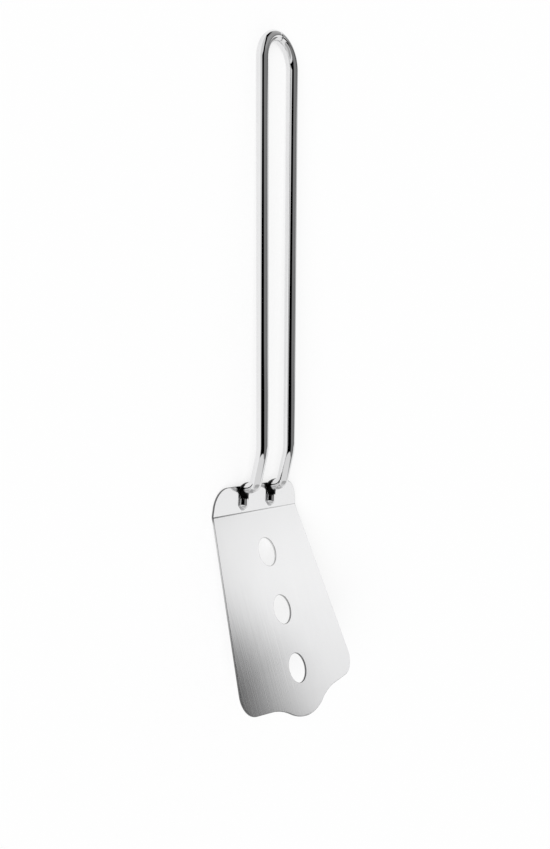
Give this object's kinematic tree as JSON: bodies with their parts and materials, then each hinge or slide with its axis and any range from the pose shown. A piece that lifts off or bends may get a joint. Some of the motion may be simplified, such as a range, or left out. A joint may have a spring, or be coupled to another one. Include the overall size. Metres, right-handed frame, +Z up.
{
  "type": "slotted spatula",
  "caption": "Kitchen spatula with a broad folded steel blade, round drain holes and a scalloped front edge, on a long looped wire handle.",
  "frame": {"origin": "on the table, under the middle of the spatula as it lies face up", "axes": "+Y from the blade to the hanging loop, +X across the width, +Z up, out of the face that carries food"},
  "size_m": [0.1016, 0.3377, 0.0409],
  "materials": {
    "polished_wire": "mirror-polished stainless steel wire",
    "satin_sheet": "satin stainless steel sheet, brushed along its length, with polished edges"
  },
  "bodies": {
    "root": {"wire_handle": "polished_wire", "blade": "satin_sheet"}
  },
  "joints": []
}
